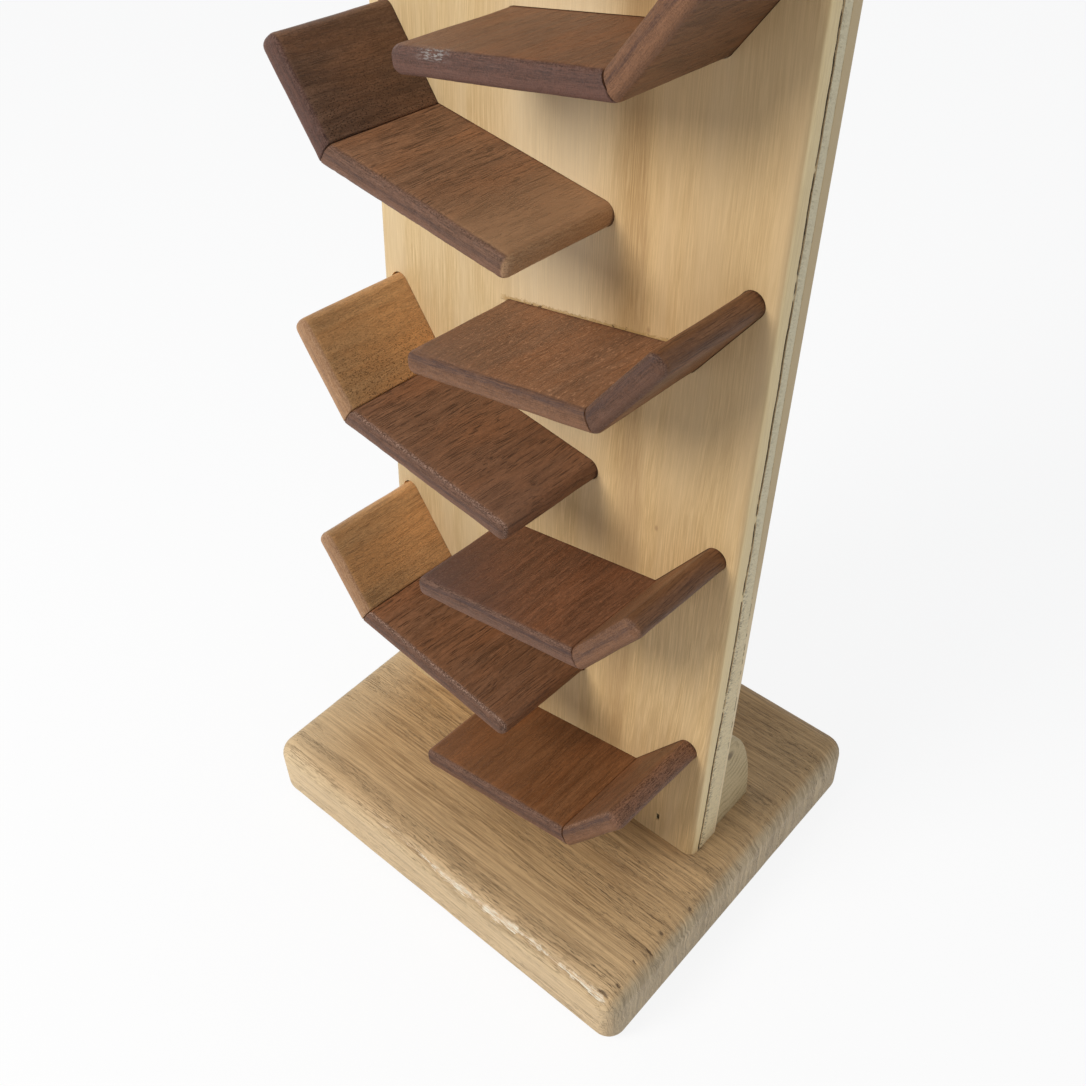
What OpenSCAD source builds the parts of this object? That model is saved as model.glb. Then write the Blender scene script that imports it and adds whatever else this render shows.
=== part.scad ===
// Wooden marble run. A plywood board leans back on an oak base and is held from
// behind by a foot block. Each tray is two hardwood slats glued in a mitre: a ramp
// that the marble rolls down, and a stop that catches it. The trays sit in V-shaped
// slots through the board, right and left in turn. Sizes are in millimetres.

/* [Base] */
// Width of the base, from side to side
base_w = 133; // [125:0.5:200]
// Depth of the base, from front to back
base_d = 113.5; // [105:0.5:180]
// Thickness of the base
base_t = 22.5; // [16:0.5:40]
// Radius of the base's rounded edges and corners
base_round = 5.5; // [2:0.25:7]

/* [Board] */
// Width of the plywood board
board_w = 113; // [105:0.5:122]
// Length of the board, up its front face
board_l = 360; // [330:1:520]
// Thickness of the plywood board
board_t = 12; // [9:0.5:18]
// Lean of the board, backwards from upright, in degrees
board_lean = 4.4; // [0.5:0.1:8]
// Distance of the board's front face, at its foot, in front of the base's middle
board_front = 7.5; // [0:0.5:16]
// Distance of the board's middle to the left of the base's middle
board_left = 1.5; // [0:0.25:4]
// Length of board above the joint of the highest tray
board_head = 44; // [32:0.5:80]
// Radius of the board's top corners
board_corner = 6; // [2:0.5:15]
// Radius of the board's eased edges
board_ease = 1.2; // [0.2:0.1:2]

/* [Trays] */
// Number of trays, right and left in turn from the bottom, evenly spaced
tray_count = 10; // [2:1:12]
// Height of the lowest tray's joint above the base, along the board
tray_first = 22.6; // [20:0.2:40]
// Distance of each tray's joint from the nearer side of the board
tray_inset = 20; // [18.5:0.5:28]
// Fall of the ramps, in degrees from level
ramp_fall = 8.8; // [4:0.2:12]
// Length of a ramp, from the joint to its free end
ramp_l = 52; // [40:0.5:58]
// Rise of the stops, in degrees from level
stop_rise = 53; // [45:1:70]
// Length of a stop, from the joint to its free end
stop_l = 25.5; // [16:0.5:27]

/* [Slats] */
// Thickness of the slats
slat_t = 5.7; // [4.5:0.1:7]
// Distance that the slats stand out in front of the board
slat_reach = 32.5; // [24:0.5:45]
// Radius of the edges at a slat's free end
slat_end = 2.5; // [0.5:0.1:2.8]
// Radius of the edges along a slat's front
slat_front = 2.5; // [0.5:0.1:2.8]
// Radius of a slat's free front corner
slat_corner = 2.5; // [0.5:0.1:4]
// Clearance between a slat and the wall of its slot
slot_clear = 0.15; // [0.1:0.05:0.4]
// Thickness of the glue line in a tray's mitre
glue_gap = 0.1; // [0.05:0.05:0.3]

/* [Foot block] */
// Height of the foot block
block_h = 37.4; // [28:0.2:60]
// Depth of the foot block at the base
block_d = 17; // [14:0.5:30]
// Distance of the block's ends in from the board's sides
block_inset = 1; // [0:0.5:10]

/* [Fixings] */
// Diameter of the wood screws under the base
screw_d = 4; // [3:0.5:5]
// Diameter of the screws' countersunk heads
screw_head = 8; // [6.5:0.5:9]
// Distance between the two screws
screw_spacing = 60; // [30:1:80]
// Distance of the screws behind the board
screw_back = 7.5; // [5:0.5:9]
// Depth of the screw heads under the base's lower face
screw_recess = 1; // [0.5:0.5:3]
// Length of screw in the foot block
screw_bite = 18.5; // [12:0.5:24]
// Thickness of the brads' wire
brad_t = 1; // [0.8:0.1:1.4]
// Width of the brads' heads, along the board's grain
brad_head = 2; // [1.8:0.1:2.6]
// Distance between the two brads
brad_spacing = 88; // [80:1:96]
// Height of the brads above the base, along the board
brad_up = 7.6; // [5:0.2:10]
// Depth of the brads' heads under the board's face
brad_set = 1; // [0.5:0.1:3]
// Length of brad in the foot block
brad_bite = 12; // [6:0.5:13]
// Clearance between a fixing and its hole
fix_clear = 0.1; // [0.05:0.05:0.2]

/* [Hidden] */
$fn = 48;

// Step from one tray's joint to the next, along the board
tray_step = (board_l - tray_first - board_head) / (tray_count - 1);
board_back = board_t / cos(board_lean) - board_front;
joint_x = board_w / 2 - tray_inset;
// Half of the angle between a ramp and its stop, which the mitre splits
mitre = (180 + ramp_fall - stop_rise) / 2;
end_r = min(slat_end, slat_t / 2);
front_r = min(slat_front, slat_t / 2 - 0.1);
slot_w = slat_t + 2 * slot_clear;
slat_d = slat_reach + board_t;
block_l = board_w - 2 * block_inset;
block_steps = 24;
screw_head_h = (screw_head - screw_d) / 2;
screw_tip = screw_d;
screw_l = base_t - screw_recess + screw_bite;
brad_head_h = 1;
brad_tip = 2;
brad_l = board_t - brad_set + brad_bite;
// How far a cutter passes the face that it cuts
over = 1;
oak = [0.72, 0.58, 0.41];
plywood = [0.86, 0.73, 0.50];
pine = [0.66, 0.57, 0.43];
steel = [0.70, 0.70, 0.72];
dark_slat = [0.34, 0.21, 0.15];
light_slat = [0.52, 0.35, 0.22];

// Local frame of the board: X to the right, Y through the board from its front
// face, and Z up the board from its foot
module on_board() {
    translate([-board_left, -board_front, base_t])
        rotate([-board_lean, 0, 0])
            children();
}

// The frame of tray i's joint, mirrored for the trays on the left
module at_joint(i) {
    mirror([1 - i % 2, 0, 0])
        translate([joint_x, 0, tray_first + (i - 1) * tray_step])
            children();
}

module at_screws() {
    for (side = [-1, 1])
        translate([side * screw_spacing / 2 - board_left, board_back + screw_back, 0])
            children();
}

module at_brads() {
    on_board()
        for (side = [-1, 1])
            translate([side * brad_spacing / 2, 0, brad_up])
                children();
}

// A flat outline in X and Z, extruded along Y from y0 to y1
module facing(y0, y1) {
    translate([0, y1, 0])
        rotate([90, 0, 0])
            linear_extrude(y1 - y0)
                children();
}

// A flat outline in Y and Z, extruded along X from x0 to x1
module sideways(x0, x1) {
    translate([x0, 0, 0])
        rotate([90, 0, 90])
            linear_extrude(x1 - x0)
                children();
}

// A rectangle with its lower left corner at the origin and round corners
module round_rect(w, h, r) {
    translate([r, 0])
        square([w - 2 * r, h]);
    translate([0, r])
        square([w, h - 2 * r]);
    for (x = [r, w - r], y = [r, h - r])
        translate([x, y])
            circle(r);
}

// A strip from the joint out along X, round at the joint, with round corners at
// its free end
module strip(l, w, r) {
    circle(d = w);
    translate([0, -w / 2])
        square([l - r, w]);
    if (w > 2 * r)
        translate([0, r - w / 2])
            square([l, w - 2 * r]);
    for (side = [-1, 1])
        translate([l - r, side * (w / 2 - r)])
            circle(r);
}

module slot() {
    facing(-over, board_t + over) {
        rotate(180 + ramp_fall)
            strip(ramp_l - end_r + slot_w / 2, slot_w, slot_w / 2);
        rotate(stop_rise)
            strip(stop_l - end_r + slot_w / 2, slot_w, slot_w / 2);
    }
}

// A slat along X from the joint, with its mitre towards +Z
module slat(l) {
    intersection() {
        facing(-slat_reach, board_t)
            difference() {
                strip(l, slat_t, end_r);
                rotate(mitre)
                    translate([-slat_t, -glue_gap / 2])
                        square([2 * slat_t, slat_t]);
            }
        sideways(-slat_t, l + slat_t)
            translate([-slat_reach, -slat_t / 2])
                round_rect(slat_d + slat_t, slat_t, front_r);
        translate([-slat_t, -slat_reach, -slat_t])
            linear_extrude(2 * slat_t)
                round_rect(l + slat_t, slat_d + slat_t, slat_corner);
    }
}

module screw_hole(l) {
    translate([0, 0, -over])
        cylinder(h = screw_recess + over, d = screw_head + 2 * fix_clear);
    translate([0, 0, screw_recess])
        cylinder(h = screw_head_h, d1 = screw_head + 2 * fix_clear, d2 = screw_d + 2 * fix_clear);
    cylinder(h = screw_recess + l + fix_clear, d = screw_d + 2 * fix_clear);
}

module brad_hole() {
    head = brad_head + 2 * fix_clear;
    wire = brad_t + 2 * fix_clear;
    translate([-wire / 2, -over, -head / 2])
        cube([wire, brad_set + brad_head_h + over, head]);
    translate([-wire / 2, 0, -wire / 2])
        cube([wire, brad_set + brad_l + fix_clear, wire]);
}

// A slab on the ground with every edge and corner rounded alike
module round_slab(w, d, h, r) {
    ends_x = [r - w / 2, w / 2 - r];
    ends_y = [r - d / 2, d / 2 - r];
    ends_z = [r, h - r];
    translate([-w / 2, -d / 2, r])
        linear_extrude(h - 2 * r)
            round_rect(w, d, r);
    translate([ends_x[0], ends_y[0], 0])
        cube([w - 2 * r, d - 2 * r, h]);
    for (z = ends_z) {
        for (y = ends_y)
            translate([ends_x[0], y, z])
                rotate([0, 90, 0])
                    cylinder(h = w - 2 * r, r = r);
        for (x = ends_x)
            translate([x, ends_y[1], z])
                rotate([90, 0, 0])
                    cylinder(h = d - 2 * r, r = r);
        for (x = ends_x, y = ends_y)
            translate([x, y, z])
                sphere(r);
    }
}

module base() {
    color(oak)
        difference() {
            round_slab(base_w, base_d, base_t, base_round);
            at_screws()
                screw_hole(screw_l);
        }
}

module board() {
    color(plywood)
        difference() {
            on_board()
                difference() {
                    intersection() {
                        facing(0, board_t)
                            translate([-board_w / 2, -board_l])
                                round_rect(board_w, 2 * board_l, board_corner);
                        translate([-board_w / 2, 0, -board_t])
                            linear_extrude(board_l + board_t)
                                round_rect(board_w, board_t, board_ease);
                        sideways(-board_w / 2, board_w / 2)
                            translate([0, -board_l])
                                round_rect(board_t, 2 * board_l, board_ease);
                    }
                    for (i = [1:tray_count])
                        at_joint(i)
                            slot();
                }
            translate([-base_w, -base_d, 0])
                cube([2 * base_w, 2 * base_d, base_t]);
            at_brads()
                brad_hole();
        }
}

// The foot block's end is a quarter of an ellipse, cut to the lean of the board
module foot_block() {
    color(pine)
        difference() {
            translate([0, board_back, base_t])
                sideways(-board_left - block_l / 2, -board_left + block_l / 2)
                    polygon(concat([[0, 0]], [
                        for (i = [0:block_steps])
                            [block_d * cos(90 * i / block_steps), block_h * sin(90 * i / block_steps)]
                    ]));
            on_board()
                translate([-board_w, -board_t, -board_t])
                    cube([2 * board_w, 2 * board_t, block_h + 2 * board_t]);
            at_screws()
                screw_hole(screw_l);
            at_brads()
                brad_hole();
        }
}

module base_screws() {
    cross = screw_head * 0.55;
    color(steel)
        at_screws()
            translate([0, 0, screw_recess])
                difference() {
                    union() {
                        cylinder(h = screw_head_h, d1 = screw_head, d2 = screw_d);
                        cylinder(h = screw_l - screw_tip, d = screw_d);
                        translate([0, 0, screw_l - screw_tip])
                            cylinder(h = screw_tip, d1 = screw_d, d2 = screw_d / 8);
                    }
                    for (turn = [0, 90])
                        rotate(turn)
                            translate([-cross / 2, -cross / 8, -over])
                                cube([cross, cross / 4, cross / 3 + over]);
                }
}

module board_brads() {
    color(steel)
        at_brads()
            sideways(-brad_t / 2, brad_t / 2)
                polygon([
                    [brad_set, -brad_head / 2],
                    [brad_set + brad_head_h, -brad_head / 2],
                    [brad_set + brad_head_h, -brad_t / 2],
                    [brad_set + brad_l - brad_tip, -brad_t / 2],
                    [brad_set + brad_l, 0],
                    [brad_set + brad_l - brad_tip, brad_t / 2],
                    [brad_set + brad_head_h, brad_t / 2],
                    [brad_set + brad_head_h, brad_head / 2],
                    [brad_set, brad_head / 2]
                ]);
}

module ramp(i) {
    color(dark_slat)
        on_board()
            at_joint(i)
                rotate([0, -180 - ramp_fall, 0])
                    mirror([0, 0, 1])
                        slat(ramp_l);
}

// The second and fourth stops are cut from paler wood
module stop(i) {
    color(i == 2 || i == 4 ? light_slat : dark_slat)
        on_board()
            at_joint(i)
                rotate([0, -stop_rise, 0])
                    slat(stop_l);
}

base();
board();
foot_block();
base_screws();
board_brads();
for (i = [1:tray_count]) {
    ramp(i);
    stop(i);
}
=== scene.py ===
# A wooden marble run: an oak base, a plywood board that leans back on it, a foot
# block behind the board, and ten V-shaped hardwood trays slotted through the board.
# Lengths are in millimetres times mm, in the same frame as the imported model.
import math

import bmesh
import bpy
from mathutils import Matrix, Vector, noise


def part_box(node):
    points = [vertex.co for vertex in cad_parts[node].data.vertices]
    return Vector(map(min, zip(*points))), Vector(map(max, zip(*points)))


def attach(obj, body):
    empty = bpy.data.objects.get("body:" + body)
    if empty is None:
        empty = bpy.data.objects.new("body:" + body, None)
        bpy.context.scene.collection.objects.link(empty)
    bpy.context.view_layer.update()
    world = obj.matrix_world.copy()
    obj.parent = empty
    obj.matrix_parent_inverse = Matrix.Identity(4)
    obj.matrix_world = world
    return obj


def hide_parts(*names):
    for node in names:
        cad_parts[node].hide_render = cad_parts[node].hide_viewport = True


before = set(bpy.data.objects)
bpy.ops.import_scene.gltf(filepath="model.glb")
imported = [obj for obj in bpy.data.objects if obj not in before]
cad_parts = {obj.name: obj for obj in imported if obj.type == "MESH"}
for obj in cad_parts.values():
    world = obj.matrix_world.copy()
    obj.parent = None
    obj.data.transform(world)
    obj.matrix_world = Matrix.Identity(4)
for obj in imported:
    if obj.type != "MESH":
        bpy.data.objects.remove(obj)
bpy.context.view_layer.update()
mm = 0.001

# Camera
# It looks down on the trays from in front of the toy's right-hand corner, close
# enough for the base to look wider than the board's upper half.
camera_place = Vector((159.4, -177.0, 328.0)) * mm
camera_turn = math.radians(42.646)
camera_down = math.radians(43.126)
camera_roll = math.radians(-2.116)
camera_lens, camera_sensor = 41.754, 36

scene = bpy.context.scene
camera_data = bpy.data.cameras.new("camera")
camera_data.lens = camera_lens
camera_data.sensor_width = camera_sensor
camera_data.clip_start = 10 * mm
camera = bpy.data.objects.new("camera", camera_data)
camera.matrix_world = (
    Matrix.Translation(camera_place)
    @ Matrix.Rotation(camera_turn, 4, "Z")
    @ Matrix.Rotation(math.radians(90) - camera_down, 4, "X")
    @ Matrix.Rotation(camera_roll, 4, "Z")
)
scene.collection.objects.link(camera)
scene.camera = camera

# Base
# A slab of oak with its grain from side to side. Every edge is rounded over, and
# the grain has torn along the front top edge, where the cutter lifted the fibres.
base_round = 5.5 * mm
base_arc_steps = 20
base_strip = 0.5 * mm
screw_recess = 1 * mm
screw_head_r = 4.1 * mm
screw_shank_r = 2.1 * mm
screw_spacing = 60 * mm
screw_line = 12.035 * mm
board_left = 1.5 * mm
sharp_angle = math.radians(38)
# In plain millimetres: where the rounded ends start, how the tear along the front edge
# runs, and the pits, each with the x and y of its middle and half its length
end_line = 61
hollow_depth = 0.1
tear_from, tear_to, tear_line, tear_floor = -30, 64, -54.9, 14
tear_waves = ((0.3, 9.1), (0.12, 3.3))
tear_half, tear_depth = 1.1, 0.4
ragged_from, ragged_depth = 58, 0.35
pits = [
    (62.6, -31.0, 1.1), (63.4, -37.2, 1.8), (62.3, -42.3, 1.0), (63.2, -50.0, 1.3),
    (61.2, -54.0, 2.6), (64.0, -20.0, 1.0), (-60.8, -51.2, 1.4),
]
pit_half, pit_depth = 0.45, 0.4


class Nodes:
    """Adds nodes to a tree."""

    def __init__(self, tree):
        self.tree = tree

    def node(self, kind, inputs, **settings):
        made = self.tree.nodes.new(kind)
        for key, value in settings.items():
            setattr(made, key, value)
        for socket, value in inputs.items():
            if isinstance(value, bpy.types.NodeSocket):
                self.tree.links.new(value, made.inputs[socket])
            else:
                made.inputs[socket].default_value = value
        return made

    def calc(self, operation, a, b=0.0):
        return self.node("ShaderNodeMath", {0: a, 1: b}, operation=operation).outputs["Value"]


class Finish(Nodes):
    """A wood or metal finish in the making. Each method adds a node and returns its result."""

    def __init__(self, name, roughness):
        self.material = bpy.data.materials.new(name)
        self.material.use_nodes = True
        super().__init__(self.material.node_tree)
        self.shader = self.tree.nodes["Principled BSDF"]
        self.shader.inputs["Roughness"].default_value = roughness
        self.shader.inputs["Specular IOR Level"].default_value = 0.35

    def space(self, place=Matrix()):
        """Millimetres in the piece's own frame, given where that frame stands."""
        coords = self.node("ShaderNodeTexCoord", {})
        inputs = {
            "Vector": coords.outputs["Object"], "Location": place.to_translation(),
            "Rotation": place.to_euler(), "Scale": (mm, mm, mm),
        }
        return self.node("ShaderNodeMapping", inputs, vector_type="TEXTURE").outputs["Vector"]

    def normal(self):
        return self.node("ShaderNodeTexCoord", {}).outputs["Normal"]

    def vector(self, operation, a, b):
        return self.node("ShaderNodeVectorMath", {0: a, 1: b}, operation=operation).outputs["Vector"]

    def dot(self, a, b):
        made = self.node("ShaderNodeVectorMath", {0: a, 1: b}, operation="DOT_PRODUCT")
        return made.outputs["Value"]

    def plus(self, a, b):
        return self.calc("ADD", a, b)

    def minus(self, a, b):
        return self.calc("SUBTRACT", a, b)

    def times(self, first, *others):
        for other in others:
            first = self.calc("MULTIPLY", first, other)
        return first

    def absolute(self, value):
        return self.calc("ABSOLUTE", value)

    def part(self, vector, axis):
        return self.node("ShaderNodeSeparateXYZ", {"Vector": vector}).outputs[axis]

    def join(self, x, y, z):
        return self.node("ShaderNodeCombineXYZ", {"X": x, "Y": y, "Z": z}).outputs["Vector"]

    def length(self, vector):
        made = self.node("ShaderNodeVectorMath", {0: vector}, operation="LENGTH")
        return made.outputs["Value"]

    def mark(self, name):
        """What the mesh's own marks of this name say."""
        return self.node("ShaderNodeAttribute", {}, attribute_name=name).outputs["Fac"]

    def noise(self, space, size, detail=2.0, roughness=0.5, distortion=0.0, output="Fac"):
        """Noise with patches of about this size, in millimetres along each axis."""
        shrunk = self.vector("DIVIDE", space, size)
        inputs = {
            "Vector": shrunk, "Scale": 1.0, "Detail": detail, "Roughness": roughness,
            "Distortion": distortion,
        }
        return self.node("ShaderNodeTexNoise", inputs).outputs[output]

    def slope(self, value, low, high, out_low=0.0, out_high=1.0):
        """Rises smoothly from out_low to out_high as value goes from low to high."""
        inputs = {
            "Value": value, "From Min": low, "From Max": high, "To Min": out_low, "To Max": out_high,
        }
        made = self.node("ShaderNodeMapRange", inputs, interpolation_type="SMOOTHSTEP")
        return made.outputs["Result"]

    def blend(self, share, under, over, mode="MIX"):
        made = self.node("ShaderNodeMix", {"Factor": share}, data_type="RGBA", blend_type=mode)
        for socket, value in ((made.inputs[6], under), (made.inputs[7], over)):
            if isinstance(value, bpy.types.NodeSocket):
                self.tree.links.new(value, socket)
            else:
                socket.default_value = (*value, 1)
        return made.outputs[2]

    def tint(self, share, over, mode="MIX"):
        """Lays one more colour over the finish's colour so far."""
        self.colour = self.blend(share, self.colour, over, mode)

    def blend_spaces(self, share, one, other):
        made = self.node("ShaderNodeMix", {"Factor": share}, data_type="VECTOR")
        self.tree.links.new(one, made.inputs[4])
        self.tree.links.new(other, made.inputs[5])
        return made.outputs[1]

    def warp(self, space, size, reach):
        """The same space, pushed about by up to reach millimetres."""
        push = self.noise(space, size, detail=1.0, output="Color")
        centred = self.vector("SUBTRACT", push, (0.5, 0.5, 0.5))
        return self.vector("ADD", space, self.vector("MULTIPLY", centred, (0, 2 * reach, 2 * reach)))

    def show(self, roughness, height, relief):
        """Joins the colour, the roughness if there is one, and the relief to the shader."""
        self.tree.links.new(self.colour, self.shader.inputs["Base Color"])
        if roughness:
            self.tree.links.new(roughness, self.shader.inputs["Roughness"])
        bump = self.node("ShaderNodeBump", {"Height": height, "Strength": 1.0, "Distance": relief * mm})
        self.tree.links.new(bump.outputs["Normal"], self.shader.inputs["Normal"])
        return self.material


def finish_piece(name, mesh, material, slot, *nodes):
    """Turns a bmesh into a piece that rides on the toy and stands for the CAD nodes."""
    for face in mesh.faces:
        face.smooth = True
    for edge in mesh.edges:
        edge.smooth = edge.calc_face_angle(0) < sharp_angle
    data = bpy.data.meshes.new(name)
    mesh.to_mesh(data)
    mesh.free()
    data.materials.append(material)
    piece = bpy.data.objects.new(name, data)
    shading = piece.modifiers.new("flat_faces_stay_flat", "WEIGHTED_NORMAL")
    shading.weight = 100
    shading.keep_sharp = True
    scene.collection.objects.link(piece)
    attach(piece, "root")
    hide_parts(*nodes)


def bevel(mesh, places, width, steps, kind="EDGES"):
    bmesh.ops.bevel(
        mesh, geom=places, offset=width, offset_type="OFFSET", segments=steps,
        profile=0.5, affect=kind, clamp_overlap=False, material=-1,
    )


def held(value):
    """The value, held between 0 and 1."""
    return min(1, max(0, value))


def along(edge, axis):
    line = edge.verts[0].co - edge.verts[1].co
    return abs(line[axis]) > 0.999 * line.length


def ring(mesh, radius, place, steps=48):
    """A circle of edges that lies level at a place."""
    made = bmesh.ops.create_circle(mesh, cap_ends=False, segments=steps, radius=radius)
    bmesh.ops.translate(mesh, vec=place, verts=made["verts"])
    return list(dict.fromkeys(edge for vert in made["verts"] for edge in vert.link_edges))


def level_faces(mesh):
    return [f for f in mesh.faces if abs(f.normal.z) > 0.9999]


base_low, base_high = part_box("base")
base_top = base_high.z
slab = bmesh.new()
bmesh.ops.create_cube(slab, size=1)
bmesh.ops.scale(slab, vec=base_high - base_low, verts=slab.verts)
bmesh.ops.translate(slab, vec=(base_low + base_high) / 2, verts=slab.verts)
bevel(slab, slab.edges[:], base_round, base_arc_steps)
for axis in (0, 1):
    long_edges = [e for e in slab.edges if along(e, axis) and e.calc_length() > 50 * mm]
    strips = int(long_edges[0].calc_length() / base_strip)
    bmesh.ops.subdivide_edges(slab, edges=long_edges, cuts=strips)
bmesh.ops.dissolve_faces(slab, faces=level_faces(slab), use_verts=False)

# The two screws' holes go through it, countersunk from below
level = sorted(level_faces(slab), key=lambda f: f.calc_center_median().z)
rims = [list(face.edges) for face in level]
bmesh.ops.delete(slab, geom=level, context="FACES_ONLY")
for side in (-1, 1):
    place = Vector((side * screw_spacing / 2 - board_left, screw_line, 0))
    sizes = (
        (screw_head_r, 0), (screw_head_r, screw_recess),
        (screw_shank_r, screw_recess + screw_head_r - screw_shank_r), (screw_shank_r, base_top),
    )
    rings = [ring(slab, radius, place + Vector((0, 0, height))) for radius, height in sizes]
    for lower, upper in zip(rings, rings[1:]):
        bmesh.ops.bridge_loops(slab, edges=lower + upper)
    rims[0] += rings[0]
    rims[1] += rings[-1]
for rim in rims:
    bmesh.ops.triangle_fill(slab, use_beauty=True, edges=rim)


def torn(place):
    """How deep the base's rounded edges sink at a place, and how much of that is a pit."""
    x, y, z = place / mm
    sunk = hollow_depth * max(0, noise.noise(place / (9 * mm)))
    if z < tear_floor:
        return sunk * mm, 0
    wander = sum(reach * math.sin(x / length) for reach, length in tear_waves)
    run = held((x - tear_from) / 22) * held((tear_to - x) / 5)
    sunk += tear_depth * run * max(0, 1 - abs(y - tear_line + wander) / tear_half)
    # Where the lines of the grain run out over the right-hand edge they are ragged
    ragged = held((x - ragged_from) / 3) * max(0, noise.noise(Vector((x / 4, y / 0.7, 3))))
    sunk += ragged_depth * ragged
    pit = 0
    for pit_x, pit_y, half_length in pits:
        out = ((x - pit_x) / half_length) ** 2 + ((y - pit_y) / pit_half) ** 2
        pit = max(pit, 1 - out)
    return (sunk + pit_depth * pit) * mm, pit


pit_mark = slab.verts.layers.float.new("pit")
middle = (base_high + base_low) / 2
core = (base_high - base_low) / 2 - Vector((base_round,) * 3)
for vert in slab.verts:
    outward = [math.copysign(max(abs(o) - c, 0), o) for o, c in zip(vert.co - middle, core)]
    curve = sorted(abs(o) for o in outward)[1] / base_round
    if curve > 0.02:
        sunk, vert[pit_mark] = torn(vert.co)
        vert.co -= Vector(outward).normalized() * sunk * min(1, 3 * curve)
bmesh.ops.recalc_face_normals(slab, faces=slab.faces)


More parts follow.
